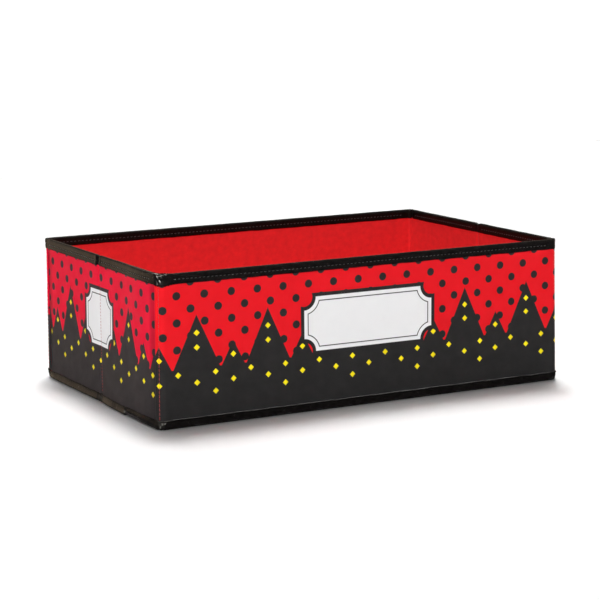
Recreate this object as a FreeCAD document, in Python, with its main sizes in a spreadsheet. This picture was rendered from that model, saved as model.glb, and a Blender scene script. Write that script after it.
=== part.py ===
import FreeCAD, Part
import Sketcher
import os

# Folding storage bin for art supplies: six stiffened wall panels (one front, one rear, two half panels at each end),
# bound along the rim and the foot, with a two-part floor.  Each panel is a sandwich of printed cover, board and lining.
# Millimetres.  Origin at the middle of the foot, X along the length, front wall at -Y, Z up.
# To fold it flat, both ends crease inwards at their middle and the middle of the floor rises between the walls.

doc = FreeCAD.newDocument("folding_bin")
sheet = doc.addObject("Spreadsheet::Sheet", "Dims")

DIMS = [
    ("half_len_in", 190.4, "middle to the inner face of an end wall"),
    ("half_dep_in", 120.9, "middle to the inner face of the front or rear wall"),
    ("rim_height", 127.0, "foot to rim, over the bindings"),
    ("cover_thk", 0.4, "printed laminated cloth"),
    ("board_thk", 1.8, "grey board stiffener"),
    ("lining_thk", 0.4, "plain lining cloth"),
    ("tape_thk", 0.7, "binding tape"),
    ("top_band", 8.5, "height of the rim binding"),
    ("low_band", 7.6, "height of the foot binding"),
    ("corner_off", 4.0, "inner face to a corner fold line"),
    ("fold_gap", 0.9, "fold line to the edge of a stiff panel"),
    ("crease_out", 0.85, "outer face of an end wall to its crease line"),
    ("floor_low", 1.25, "foot to the underside of the floor"),
    ("floor_cloth", 0.35, "cloth on a floor board"),
    ("floor_board", 1.5, "floor board"),
    ("floor_side", 0.3, "floor fold line to the floor's edge"),
    ("floor_mid", 0.6, "middle to the edge of a floor half"),
    ("floor_end", 4.5, "room at the slanted ends of the floor"),
    ("floor_hem", 1.5, "cloth beyond the edges of a floor board"),
    ("thread_thk", 0.25, "sewing thread, standing proud"),
    ("thread_wid", 0.45, "sewing thread, width"),
    ("stitch_drop", 5.1, "rim to the row of stitches"),
    ("stitch_end", 9.0, "crease or corner to the first stitch"),
    ("fold_bead", 0.45, "radius of the cloth folded in a corner"),
    ("crease_bead", 0.4, "radius of the cloth folded in an end crease"),
    ("seam_bead", 0.25, "radius of the hem of the floor seam"),
    ("seam_axis", 0.45, "foot to the line of the floor seam"),
    ("seam_thk", 0.4, "floor seam, thickness"),
    ("seam_reach", 3.6, "inner face to the hem of the floor seam"),
    ("seam_end", 6.0, "end wall to the end of the floor seam"),
    ("board_stop", 7.0, "outer end of a long wall to the end of its board"),
    ("board_hollow", 9.0, "corner end of an end panel to the end of its board"),
    ("board_crease", 2.1, "crease end of an end panel to the end of its board"),
    ("gusset_low", 0.2, "foot to the corner cloth of the floor"),
    ("gusset_thk", 0.4, "corner cloth of the floor"),
    ("gusset_lap", 2.5, "corner cloth under the slanted end of the floor"),
    ("slack", 1.0, "overshoot of a cutting shape"),
]


class Size:
    """A length that carries its number and the formula that ties it to the sheet."""

    def __init__(self, val, text):
        self.val, self.text = float(val), text

    def __add__(self, other):
        other = size(other)
        return Size(self.val + other.val, "(%s + %s)" % (self.text, other.text))

    def __sub__(self, other):
        other = size(other)
        return Size(self.val - other.val, "(%s - %s)" % (self.text, other.text))

    def __neg__(self):
        return Size(-self.val, "(0 - %s)" % self.text)

    def times(self, sign):
        return self if sign > 0 else -self


def size(x):
    return x if isinstance(x, Size) else Size(x, repr(float(x)))


dim = {}
for row, (alias, value, note) in enumerate(DIMS, start=1):
    sheet.set("A%d" % row, repr(float(value)))
    sheet.setAlias("A%d" % row, alias)
    sheet.set("B%d" % row, note)
    dim[alias] = Size(value, "Dims." + alias)
doc.recompute()

pieces = []


def bind(obj, path, length):
    obj.setExpression(path, length.text)


def span(sign, near, far):
    """The low and high end of a stretch measured from the middle, on the side that sign gives."""
    near, far = size(near), size(far)
    return (near, far) if sign > 0 else (-far, -near)


def block(label, xs, ys, zs):
    obj = doc.addObject("Part::Box", label)
    obj.Label = label
    for name, (low, high) in zip(("Length", "Width", "Height"), (xs, ys, zs)):
        bind(obj, name, size(high) - size(low))
    for name, (low, high) in zip("xyz", (xs, ys, zs)):
        bind(obj, "Placement.Base." + name, size(low))
    return obj


def prism(label, points, zs):
    """A plan outline raised from one height to another."""
    body = doc.addObject("PartDesign::Body", label)
    body.Label = label
    sketch = body.newObject("Sketcher::SketchObject", label + "_plan")
    plane = [f for f in body.Origin.OriginFeatures if f.Role == "XY_Plane"][0]
    sketch.AttachmentSupport = [(plane, "")]
    sketch.MapMode = "FlatFace"
    low, high = size(zs[0]), size(zs[1])
    sketch.AttachmentOffset = FreeCAD.Placement(FreeCAD.Vector(0, 0, low.val), FreeCAD.Rotation())
    bind(sketch, "AttachmentOffset.Base.z", low)
    points = [(size(x), size(y)) for x, y in points]
    n = len(points)
    for i in range(n):
        (x0, y0), (x1, y1) = points[i], points[(i + 1) % n]
        sketch.addGeometry(
            Part.LineSegment(FreeCAD.Vector(x0.val, y0.val, 0), FreeCAD.Vector(x1.val, y1.val, 0)), False
        )
    for i in range(n):
        sketch.addConstraint(Sketcher.Constraint("Coincident", i, 2, (i + 1) % n, 1))
    for i, (x, y) in enumerate(points):
        for kind, length in (("DistanceX", x), ("DistanceY", y)):
            c = sketch.addConstraint(Sketcher.Constraint(kind, -1, 1, i, 1, length.val))
            bind(sketch, "Constraints[%d]" % c, length)
    pad = body.newObject("PartDesign::Pad", label + "_pad")
    pad.Profile = sketch
    pad.Length = high.val - low.val
    bind(pad, "Length", high - low)
    return body


def bead(label, x, y, zs, radius):
    obj = doc.addObject("Part::Cylinder", label)
    obj.Label = label
    bind(obj, "Radius", radius)
    bind(obj, "Height", size(zs[1]) - size(zs[0]))
    for name, length in zip("xyz", (x, y, zs[0])):
        bind(obj, "Placement.Base." + name, size(length))
    return obj


def bead_along_x(label, xs, y, z, radius):
    obj = doc.addObject("Part::Cylinder", label)
    obj.Label = label
    obj.Placement = FreeCAD.Placement(
        FreeCAD.Vector(size(xs[0]).val, size(y).val, size(z).val), FreeCAD.Rotation(FreeCAD.Vector(0, 1, 0), 90)
    )
    bind(obj, "Radius", radius)
    bind(obj, "Height", size(xs[1]) - size(xs[0]))
    for name, length in zip("xyz", (xs[0], y, z)):
        bind(obj, "Placement.Base." + name, size(length))
    return obj


def less(label, base, tool):
    obj = doc.addObject("Part::Cut", label)
    obj.Label = label
    obj.Base, obj.Tool = base, tool
    return obj


def joined(label, base, tool):
    obj = doc.addObject("Part::Fuse", label)
    obj.Label = label
    obj.Base, obj.Tool = base, tool
    return obj


def group(label, members):
    obj = doc.addObject("Part::Compound", label)
    obj.Label = label
    obj.Links = members
    return obj


def keep(obj):
    pieces.append(obj)
    return obj


# Faces of the walls, measured from the middle: lining, board, cover and tape, from the inside out.
xi, yi = dim["half_len_in"], dim["half_dep_in"]
tape = dim["tape_thk"]
x_lin, y_lin = xi + dim["lining_thk"], yi + dim["lining_thk"]
x_brd, y_brd = x_lin + dim["board_thk"], y_lin + dim["board_thk"]
x_cov, y_cov = x_brd + dim["cover_thk"], y_brd + dim["cover_thk"]
x_tap, y_tap = x_cov + tape, y_cov + tape
x_leg, y_leg = xi - tape, yi - tape

# Corner fold lines lie on the inner face of the end walls, a little in from the long walls.
y_fold = yi - dim["corner_off"]
y_return = y_fold + dim["fold_gap"]
y_panel = y_fold - dim["fold_gap"]
x_crease = x_cov + dim["crease_out"]

rim = dim["rim_height"]
z_wall = (tape, rim - tape)
z_top_band = (rim - dim["top_band"], rim)
z_low_band = (size(0), dim["low_band"])
z_stitch = (rim - dim["stitch_drop"], rim - dim["stitch_drop"] + dim["thread_wid"])
thread = dim["thread_thk"]


def channel(side, x_near, y_near, x_far, y_far, y_end):
    """Plan of a strip along a long wall that turns the corner at both ends and stops at y_end."""
    return [
        (x_near, y_end.times(side)),
        (x_far, y_end.times(side)),
        (x_far, y_far.times(side)),
        (-x_far, y_far.times(side)),
        (-x_far, y_end.times(side)),
        (-x_near, y_end.times(side)),
        (-x_near, y_near.times(side)),
        (x_near, y_near.times(side)),
    ]


# Front and rear walls.  Their cloth runs round the corners, up to the fold lines of the end panels.
for wall, side in (("front", -1), ("rear", 1)):
    board_end = x_brd - dim["board_stop"]
    keep(block(wall + "_board", (-board_end, board_end), span(side, y_lin, y_brd), z_wall))
    keep(prism(wall + "_cover", channel(side, x_brd, y_brd, x_cov, y_cov, y_return), z_wall))
    keep(prism(wall + "_lining", channel(side, xi, yi, x_lin, y_lin, y_return), z_wall))
    past = y_return - dim["slack"]
    keep(
        less(
            wall + "_top_binding",
            prism(wall + "_top_outer", channel(side, x_leg, y_leg, x_tap, y_tap, y_return), z_top_band),
            prism(
                wall + "_top_groove",
                channel(side, xi, yi, x_cov, y_cov, past),
                (z_top_band[0] - dim["slack"], rim - tape),
            ),
        )
    )
    keep(
        less(
            wall + "_bottom_binding",
            prism(wall + "_foot_outer", channel(side, xi, yi, x_tap, y_tap, y_return), z_low_band),
            prism(
                wall + "_foot_groove",
                channel(side, xi - dim["slack"], yi - dim["slack"], x_cov, y_cov, past),
                (tape, dim["low_band"] + dim["slack"]),
            ),
        )
    )
    run = x_cov - dim["stitch_end"]
    keep(
        group(
            wall + "_top_thread",
            [
                block(wall + "_thread_out", (-run, run), span(side, y_tap, y_tap + thread), z_stitch),
                block(wall + "_thread_in", (-run, run), span(side, y_leg - thread, y_leg), z_stitch),
            ],
        )
    )
    for end, way in (("left", -1), ("right", 1)):
        # The seam allowance of cover and lining, turned into the corner past the end of the board.
        turn = [
            (x_lin, y_return),
            (x_brd, y_return),
            (x_brd, y_brd),
            (board_end, y_brd),
            (board_end, y_lin),
            (x_lin, y_lin),
        ]
        turn = [(x.times(way), y.times(side)) for x, y in turn]
        keep(prism("%s_%s_seam" % (wall, end), turn, z_wall))
        keep(
            joined(
                "%s_%s_hinge_fold" % (wall, end),
                bead("%s_%s_bead" % (wall, end), xi.times(way), y_fold.times(side), z_wall, dim["fold_bead"]),
                block("%s_%s_web" % (wall, end), span(way, xi, x_lin), span(side, y_fold, y_return), z_wall),
            )
        )
    hem = yi - dim["seam_reach"]
    edge = xi - dim["seam_end"]
    z_seam = (dim["seam_axis"] - dim["seam_bead"], dim["seam_axis"] + dim["seam_bead"])
    keep(
        joined(
            wall + "_floor_seam",
            bead_along_x(wall + "_hem", (-edge, edge), hem.times(side), dim["seam_axis"], dim["seam_bead"]),
            block(
                wall + "_hem_strip",
                (-edge, edge),
                span(side, hem, yi),
                (dim["seam_axis"] - dim["seam_bead"], dim["seam_axis"] - dim["seam_bead"] + dim["seam_thk"]),
            ),
        )
    )

# End walls: two half panels each, with the crease between them.
for end, way in (("left", -1), ("right", 1)):
    for wall, side in (("front", -1), ("rear", 1)):
        name = "%s_%s" % (end, wall)
        run = span(side, dim["fold_gap"], y_panel)
        # The board stops short at the corner and at the crease, where only cloth bends.
        stiff = span(side, dim["fold_gap"] + dim["board_crease"], y_panel - dim["board_hollow"])
        keep(block(name + "_board", span(way, x_lin, x_brd), stiff, z_wall))
        keep(block(name + "_cover", span(way, x_brd, x_cov), run, z_wall))
        keep(block(name + "_lining", span(way, xi, x_lin), run, z_wall))
        long_run = span(side, dim["fold_gap"] - dim["slack"], y_panel + dim["slack"])
        keep(
            less(
                name + "_top_binding",
                block(name + "_top_outer", span(way, x_leg, x_tap), run, z_top_band),
                block(
                    name + "_top_groove",
                    span(way, xi, x_cov),
                    long_run,
                    (z_top_band[0] - dim["slack"], rim - tape),
                ),
            )
        )
        keep(
            less(
                name + "_bottom_binding",
                block(name + "_foot_outer", span(way, xi, x_tap), run, z_low_band),
                block(
                    name + "_foot_groove",
                    span(way, xi - dim["slack"], x_cov),
                    long_run,
                    (tape, dim["low_band"] + dim["slack"]),
                ),
            )
        )
        stitched = span(side, dim["stitch_end"], y_panel - dim["stitch_end"])
        keep(
            group(
                name + "_top_thread",
                [
                    block(name + "_thread_out", span(way, x_tap, x_tap + thread), stitched, z_stitch),
                    block(name + "_thread_in", span(way, x_leg - thread, x_leg), stitched, z_stitch),
                ],
            )
        )
        # Corner cloth of the floor: half of the triangle between the end wall and the floor's slanted ends.
        start = y_fold - dim["fold_gap"]
        middle = dim["floor_mid"] - dim["thread_thk"]
        lap = dim["floor_end"] + dim["gusset_lap"]
        keep(
            prism(
                name + "_gusset",
                [
                    (xi.times(way), start.times(side)),
                    ((xi - (y_fold - start) - lap).times(way), start.times(side)),
                    ((xi - (y_fold - middle) - lap).times(way), middle.times(side)),
                    (xi.times(way), middle.times(side)),
                ],
                (dim["gusset_low"], dim["gusset_low"] + dim["gusset_thk"]),
            )
        )
    # The crease: cloth folded outwards between the two half panels, carried by the front one.
    x_bead = x_cov + dim["crease_bead"]
    keep(
        joined(
            end + "_crease_fold",
            bead(end + "_crease_bead", x_bead.times(way), size(0), z_wall, dim["crease_bead"]),
            block(
                end + "_crease_web",
                span(way, x_cov - 0.2, x_cov + 0.2),
                (-dim["fold_gap"], size(0)),
                z_wall,
            ),
        )
    )

# Floor: two boards between cloths, their ends slanted so that they clear the folding end walls.
z0 = dim["floor_low"]
z1 = z0 + dim["floor_cloth"]
z2 = z1 + dim["floor_board"]
z3 = z2 + dim["floor_cloth"]
for wall, side in (("front", -1), ("rear", 1)):
    near = y_fold - dim["floor_side"]
    far = dim["floor_mid"]
    x_near = xi - dim["floor_side"] - dim["floor_end"]
    x_far = xi - (y_fold - far) - dim["floor_end"]
    plan = [
        (x_near, near.times(side)),
        (x_far, far.times(side)),
        (-x_far, far.times(side)),
        (-x_near, near.times(side)),
    ]
    # the board stops short of the cloths, which close round it
    b_near, b_far = near - dim["floor_hem"], far + dim["floor_hem"]
    room = dim["floor_end"] + dim["floor_hem"].times(1.4)
    xb_near = xi - (y_fold - b_near) - room
    xb_far = xi - (y_fold - b_far) - room
    inset = [
        (xb_near, b_near.times(side)),
        (xb_far, b_far.times(side)),
        (-xb_far, b_far.times(side)),
        (-xb_near, b_near.times(side)),
    ]
    keep(prism(wall + "_floor_under_cloth", plan, (z0, z1)))
    keep(prism(wall + "_floor_board", inset, (z1, z2)))
    keep(prism(wall + "_floor_top_cloth", plan, (z2, z3)))
keep(block("floor_crease_cloth", (-x_far, x_far), (-dim["floor_mid"], dim["floor_mid"]), (z2, z3)))

doc.recompute()

bad = [o.Label for o in doc.Objects if "Invalid" in o.State or "Error" in o.State]
if bad:
    raise RuntimeError("objects that failed: " + ", ".join(bad))
names = [p.Label for p in pieces]
if len(set(names)) != len(names):
    raise RuntimeError("two pieces share a label")
for p in pieces:
    if p.Shape.isNull() or not p.Shape.isValid() or not p.Shape.Solids:
        raise RuntimeError("no good solid in " + p.Label)

os.makedirs("parts", exist_ok=True)
for p in pieces:
    p.Shape.exportStep("parts/%s.step" % p.Label)

box = FreeCAD.BoundBox()
for p in pieces:
    box.add(p.Shape.BoundBox)
    print("%-28s solids %d  volume %10.1f mm3" % (p.Label, len(p.Shape.Solids), p.Shape.Volume))
print("%d pieces, %.2f x %.2f x %.2f mm" % (len(pieces), box.XLength, box.YLength, box.ZLength))
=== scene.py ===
import bpy, bmesh, math
import numpy as np
from mathutils import Vector, Matrix


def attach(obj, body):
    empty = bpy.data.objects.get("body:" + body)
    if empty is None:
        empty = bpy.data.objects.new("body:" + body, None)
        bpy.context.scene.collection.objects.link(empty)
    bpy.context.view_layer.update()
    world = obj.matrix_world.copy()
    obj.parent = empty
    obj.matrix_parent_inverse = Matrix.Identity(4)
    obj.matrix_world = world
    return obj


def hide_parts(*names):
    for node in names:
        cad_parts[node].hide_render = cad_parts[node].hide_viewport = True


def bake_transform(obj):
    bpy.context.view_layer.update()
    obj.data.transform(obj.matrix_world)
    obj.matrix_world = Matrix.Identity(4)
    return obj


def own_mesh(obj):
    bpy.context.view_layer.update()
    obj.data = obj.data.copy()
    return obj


# Looks of the folding bin: printed covers, lining, binding tape, stitches and floor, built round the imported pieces.
# Lengths below are in millimetres, turned to metres when a mesh is made.

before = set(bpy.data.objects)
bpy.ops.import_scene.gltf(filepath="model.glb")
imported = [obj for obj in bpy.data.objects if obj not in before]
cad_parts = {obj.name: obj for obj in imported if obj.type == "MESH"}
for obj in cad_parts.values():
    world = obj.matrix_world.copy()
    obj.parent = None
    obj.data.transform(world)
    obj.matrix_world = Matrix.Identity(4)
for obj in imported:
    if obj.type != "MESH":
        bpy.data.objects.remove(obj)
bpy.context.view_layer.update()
scene = bpy.context.scene
MM = 0.001

H, XI, YI, THK = 127.0, 190.4, 120.9, 2.6          # rim height, inner faces, wall thickness
YH, XC = 116.9, 193.85                              # corner fold lines, end crease lines
TOP0, LOW1 = 118.5, 7.6                             # lower edge of the rim tape, upper edge of the foot tape
FLOOR_AXIS, FLOOR_TOP, FLOOR_LOW = 0.45, 3.45, 1.25
PITCH, ROW = 3.7, 122.1                             # stitches of the rim: their pitch and height


# ----------------------------------------------------------------------------------------------------------- meshes
def noise1(x, seed, scale, octaves=3):
    """Smooth repeatable noise of one variable, about -1 to 1."""
    r = np.random.default_rng(seed)
    out = np.zeros_like(np.asarray(x, float))
    amp = 1.0
    for k in range(octaves):
        for _ in range(3):
            f = (2 ** k) * (0.7 + 0.6 * r.random()) / scale
            out = out + amp * np.sin(2 * np.pi * (f * x + r.random())) / 3
        amp *= 0.55
    return out


def noise2(x, y, seed, scale, octaves=2):
    """Smooth repeatable noise of two variables, about -1 to 1."""
    r = np.random.default_rng(seed)
    out = np.zeros(np.broadcast(x, y).shape)
    amp = 1.0
    for k in range(octaves):
        for _ in range(5):
            a = r.random() * 2 * np.pi
            f = (2 ** k) * (0.6 + 0.8 * r.random()) / scale
            out = out + amp * np.sin(2 * np.pi * (f * (np.cos(a) * x + np.sin(a) * y) + r.random())) / 5
        amp *= 0.55
    return out * 1.6


def gauss(x, s):
    return np.exp(-((x / s) ** 2))


def smooth(x, a, b):
    t = np.clip((x - a) / (b - a), 0, 1)
    return t * t * (3 - 2 * t)


def make(name, verts, faces, uv, material, sharp=40.0):
    me = bpy.data.meshes.new(name)
    me.from_pydata((np.asarray(verts, float) * MM).tolist(), [], faces)
    layer = me.uv_layers.new(name="UVMap")
    li = np.empty(len(me.loops), np.int32)
    me.loops.foreach_get("vertex_index", li)
    layer.data.foreach_set("uv", (np.asarray(uv, float) * MM)[li].astype(np.float32).ravel())
    bm = bmesh.new()
    bm.from_mesh(me)
    bmesh.ops.recalc_face_normals(bm, faces=bm.faces)
    bm.to_mesh(me)
    bm.free()
    me.polygons.foreach_set("use_smooth", np.ones(len(me.polygons), bool))
    me.set_sharp_from_angle(angle=math.radians(sharp))
    me.materials.append(material)
    ob = bpy.data.objects.new(name, me)
    scene.collection.objects.link(ob)
    return ob


def tube(name, P, UV, material, sharp=50.0, back=None):
    """A closed profile carried along a path: P is (stations, profile points, 3).  back is a second finish and the
    profile's points that have it."""
    n, m = P.shape[:2]
    idx = np.arange(n * m).reshape(n, m)
    a, b = idx[:-1], idx[1:]
    quads = np.stack([a, np.roll(a, -1, 1), np.roll(b, -1, 1), b], -1).reshape(-1, 4).tolist()
    quads += [idx[0].tolist(), idx[-1][::-1].tolist()]
    ob = make(name, P.reshape(-1, 3), quads, UV.reshape(-1, 2), material, sharp)
    if back is not None:
        ob.data.materials.append(back[0])
        which = np.concatenate([np.tile(back[1].astype(np.int32), n - 1), np.zeros(2, np.int32)])
        ob.data.polygons.foreach_set("material_index", which)
    return ob


def slab(name, outer, inner, UV, material, sharp=45.0):
    """A thin closed sheet between two grids of points."""
    n, m = outer.shape[:2]
    io = np.arange(n * m).reshape(n, m)
    ii = io + n * m
    q = lambda a, b, c, d: np.stack([a, b, c, d], -1).reshape(-1, 4)
    faces = [
        q(io[:-1, :-1], io[:-1, 1:], io[1:, 1:], io[1:, :-1]),
        q(ii[:-1, :-1], ii[1:, :-1], ii[1:, 1:], ii[:-1, 1:]),
        q(io[0, :-1], ii[0, :-1], ii[0, 1:], io[0, 1:]),
        q(io[-1, :-1], io[-1, 1:], ii[-1, 1:], ii[-1, :-1]),
        q(io[:-1, 0], io[1:, 0], ii[1:, 0], ii[:-1, 0]),
        q(io[:-1, -1], ii[:-1, -1], ii[1:, -1], io[1:, -1]),
    ]
    verts = np.concatenate([outer.reshape(-1, 3), inner.reshape(-1, 3)])
    uv = np.concatenate([UV.reshape(-1, 2), UV.reshape(-1, 2)])
    return make(name, verts, np.concatenate(faces).tolist(), uv, material, sharp)


# ------------------------------------------------------------------------------------------------------------ paths
LONG = {"front": -1, "rear": 1}
ENDS = {"left": -1, "right": 1}
# Rounding of the inner face at each corner, at the foot and how much more at the rim.
ROUND = {("front", -1): (4.6, 0.4), ("front", 1): (1.6, 1.0), ("rear", -1): (0.9, 1.4), ("rear", 1): (1.6, 1.0)}
# How far the outer face stands out sideways at each corner, at the foot and at the rim.
FLARE = {("front", -1): (2.6, 1.8), ("front", 1): (1.7, 0.0), ("rear", -1): (0.2, 0.0), ("rear", 1): (0.6, 0.0)}


def corner_base(wall, way, z):
    low, more = ROUND[wall, way]
    return low + more * smooth(z, 20.0, 118.0)


def flare(wall, way, r, z):
    low, top = FLARE[wall, way]
    return (top + (low - top) * (1 - np.clip(z / 112.0, 0, 1)) ** 1.2) * np.clip(r / THK, 0, 1)


class LongPath:
    """Plan of a long wall: a return round the corner, the run, and the other return.  Every point is given by its offset
    from the inner face; on a return, stations are spread evenly from the hem to the run."""

    def __init__(self, wall, y_end, step_run, n_ret=16):
        nx = int(round(2 * XI / step_run)) + 1
        t = np.linspace(0, 1, n_ret + 1)[:-1]
        self.kind = np.concatenate([np.zeros(len(t)), np.full(nx, 2), np.full(len(t), 4)])
        self.par = np.concatenate([t, np.linspace(-1, 1, nx), t[::-1]])
        self.wall, self.side, self.y_end = wall, LONG[wall], y_end

    def parts(self, r, z):
        k, p = self.kind[:, None] + 0 * r, self.par[:, None] + 0 * r
        left = (k < 2) | ((k == 2) & (p < 0))
        base = np.where(left, corner_base(self.wall, -1, z), corner_base(self.wall, 1, z))
        R = np.maximum(base + r, 0.3)
        X, Y = XI + r, YI + r
        straight = np.maximum(Y - R - self.y_end, 0.0)
        start = np.arcsin(np.clip((self.y_end - (Y - R)) / R, 0, 1))
        return k, p, R, X, Y, straight, start

    def place(self, r, z):
        """Points and arc length for offsets r (stations, points) and heights z."""
        z = z + 0 * r
        k, p, R, X, Y, straight, start = self.parts(r, z)
        arc = R * (np.pi / 2 - start)
        a = p * (straight + arc)
        phi = start + np.clip(a - straight, 0, None) / R
        cx, cy = X - R, Y - R
        ret_x = np.where(a < straight, X, cx + R * np.cos(phi))
        ret_y = np.where(a < straight, self.y_end + a, cy + R * np.sin(phi))
        kinds = [k == 0, k == 2, k == 4]
        x = np.select(kinds, [-ret_x, p * cx, ret_x])
        y = np.select(kinds, [ret_y, Y, ret_y])
        u = np.select(kinds, [-cx - (straight + arc - a), p * cx, cx + (straight + arc - a)])
        w = smooth(np.abs(x), XI - 60.0, XI + 2.0)
        x = x + w * np.where(x < 0, -flare(self.wall, -1, r, z), flare(self.wall, 1, r, z))
        return np.stack([x, self.side * y, z], -1), u

    def hem(self, z):
        """Distance along the outer face from the hem at the end of each return; on the run it goes on growing."""
        r = np.full_like(z, THK)
        k, p, R, X, Y, straight, start = self.parts(r, z)
        whole = straight + R * (np.pi / 2 - start)
        return np.where(k == 2, whole + (1 - np.abs(p)) * (X - R), p * whole)

    def along(self, z=60.0):
        """Arc length of each station on the outer face."""
        n = len(self.kind)
        return self.place(np.full((n, 1), THK), np.full((n, 1), z))[1][:, 0]


def long_point(wall, way, hem, r, z, y_end=116.98):
    """A point of a long wall by its distance from the hem of its return, and the outward direction there."""
    side = LONG[wall]
    R = max(float(corner_base(wall, way, np.array(z))) + r, 0.3)
    cx, cy = XI + r - R, YI + r - R
    straight = max(cy - y_end, 0.0)
    start = math.asin(min(max((y_end - cy) / R, 0.0), 1.0))
    out = float(flare(wall, way, np.array(r), np.array(z)))
    if hem <= straight:
        return (way * (XI + r + out), side * (y_end + hem), z), (way, 0.0, 0.0)
    phi = start + (hem - straight) / R
    if phi <= math.pi / 2:
        c, d = math.cos(phi), math.sin(phi)
        return (way * (cx + R * c + out), side * (cy + R * d), z), (way * c, side * d, 0.0)
    x = cx - R * (phi - math.pi / 2)
    return (way * (x + out * float(smooth(np.array(x), XI - 60.0, XI + 2.0))), side * (YI + r), z), (0.0, side, 0.0)


class EndPath:
    """Plan of an end wall, with cloth that rolls round the corner fold lines into the long walls."""

    def __init__(self, ys, roll_deg=88.0, n_roll=9):
        a = np.radians(np.linspace(0, roll_deg, n_roll))[1:]
        self.kind = np.concatenate([np.zeros(len(a)), np.ones(len(ys)), np.full(len(a), 2)])
        self.par = np.concatenate([a[::-1], ys, a])

    def place(self, way, r, z, stand=0.0):
        """Points and arc length for offsets r, carried outwards by stand."""
        k, p = self.kind[:, None], self.par[:, None]
        x = np.select([k == 0, k == 1, k == 2], [XI + r * np.cos(p), XI + r, XI + r * np.cos(p)]) + stand
        y = np.select([k == 0, k == 1, k == 2], [-YH - r * np.sin(p), p + 0 * r, YH + r * np.sin(p)])
        return np.stack([way * x, y, np.broadcast_to(z, x.shape)], -1), self.along()[:, None] + 0 * r

    def along(self):
        return np.select(
            [self.kind == 0, self.kind == 1, self.kind == 2], [-YH - THK * self.par, self.par, YH + THK * self.par]
        )

    def edge(self):
        """How far each station is into the roll, 0 on the panel and 1 at the fold line and beyond."""
        y = np.abs(np.where(self.kind == 1, self.par, YH))
        return smooth(y, YH - 3.2, YH - 0.2)


def graded(lo, hi, fine_at, fine, coarse, reach):
    """Stations from lo to hi, close together near the points in fine_at."""
    ys = [lo]
    while ys[-1] < hi:
        d = min(abs(ys[-1] - f) for f in fine_at)
        step = fine + (coarse - fine) * min(1.0, max(0.0, (d - reach) / (6 * reach)))
        ys.append(min(hi, ys[-1] + step))
    return np.array(ys)


# --------------------------------------------------------------------------------------------------------- materials
class Graph:
    """Small helper to write shader nodes as formulas."""

    def __init__(self, name):
        self.mat = bpy.data.materials.new(name)
        self.mat.use_nodes = True
        self.t = self.mat.node_tree
        self.bsdf = next(n for n in self.t.nodes if n.type == "BSDF_PRINCIPLED")

    def node(self, kind, **kw):
        n = self.t.nodes.new(kind)
        for k, v in kw.items():
            setattr(n, k, v)
        return n

    def put(self, sock, v):
        if hasattr(v, "is_linked") or isinstance(v, bpy.types.NodeSocket):
            self.t.links.new(v, sock)
        else:
            sock.default_value = v

    def m(self, op, a, b=None, c=None, clamp=False):
        n = self.node("ShaderNodeMath", operation=op, use_clamp=clamp)
        for s, v in zip(n.inputs, (a, b, c)):
            if v is not None:
                self.put(s, v)
        return n.outputs[0]

    def add(self, a, b): return self.m("ADD", a, b)
    def sub(self, a, b): return self.m("SUBTRACT", a, b)
    def mul(self, a, b): return self.m("MULTIPLY", a, b)
    def absv(self, a): return self.m("ABSOLUTE", a)
    def hyp(self, a, b): return self.m("SQRT", self.add(self.mul(a, a), self.mul(b, b)))

    def cell(self, a, pitch, at):
        """Distance along one axis to the nearest point of a row of points."""
        f = self.m("FRACT", self.add(self.mul(self.sub(a, at), 1.0 / pitch), 0.5))
        return self.mul(self.sub(f, 0.5), pitch)

    def inside(self, d, soft=0.22):
        """1 where the signed distance d is negative, with a soft edge."""
        return self.m("MULTIPLY_ADD", d, -1.0 / soft, 0.5, clamp=True)

    def mix(self, fac, a, b):
        n = self.node("ShaderNodeMix", data_type="RGBA")
        self.put(n.inputs[0], fac)
        self.put(n.inputs[6], a)
        self.put(n.inputs[7], b)
        return n.outputs[2]

    def uv_mm(self):
        n = self.node("ShaderNodeUVMap", uv_map="UVMap")
        s = self.node("ShaderNodeSeparateXYZ")
        self.t.links.new(n.outputs[0], s.inputs[0])
        return n.outputs[0], self.mul(s.outputs[0], 1000.0), self.mul(s.outputs[1], 1000.0)

    def noise(self, vec, scale, detail=3.0, rough=0.5, stretch=None):
        if stretch is not None:
            mp = self.node("ShaderNodeMapping")
            self.t.links.new(vec, mp.inputs[0])
            mp.inputs[3].default_value = stretch
            vec = mp.outputs[0]
        n = self.node("ShaderNodeTexNoise")
        self.t.links.new(vec, n.inputs["Vector"])
        n.inputs["Scale"].default_value = scale
        n.inputs["Detail"].default_value = detail
        n.inputs["Roughness"].default_value = rough
        return n.outputs[0]

    def span(self, v, lo, hi, a=0.3, b=0.7):
        n = self.node("ShaderNodeMapRange")
        self.put(n.inputs[0], v)
        for s, x in zip(n.inputs[1:5], (a, b, lo, hi)):
            s.default_value = x
        return n.outputs[0]

    def bump(self, height, dist_mm, strength=1.0, normal=None):
        n = self.node("ShaderNodeBump")
        n.inputs["Strength"].default_value = strength
        n.inputs["Distance"].default_value = dist_mm * MM
        self.t.links.new(height, n.inputs["Height"])
        if normal is not None:
            self.t.links.new(normal, n.inputs["Normal"])
        return n.outputs[0]

    def set(self, **kw):
        for k, v in kw.items():
            self.put(self.bsdf.inputs[k.replace("_", " ")], v)
        return self.mat


YELLOW = (0.96, 0.80, 0.010, 1)


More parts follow.
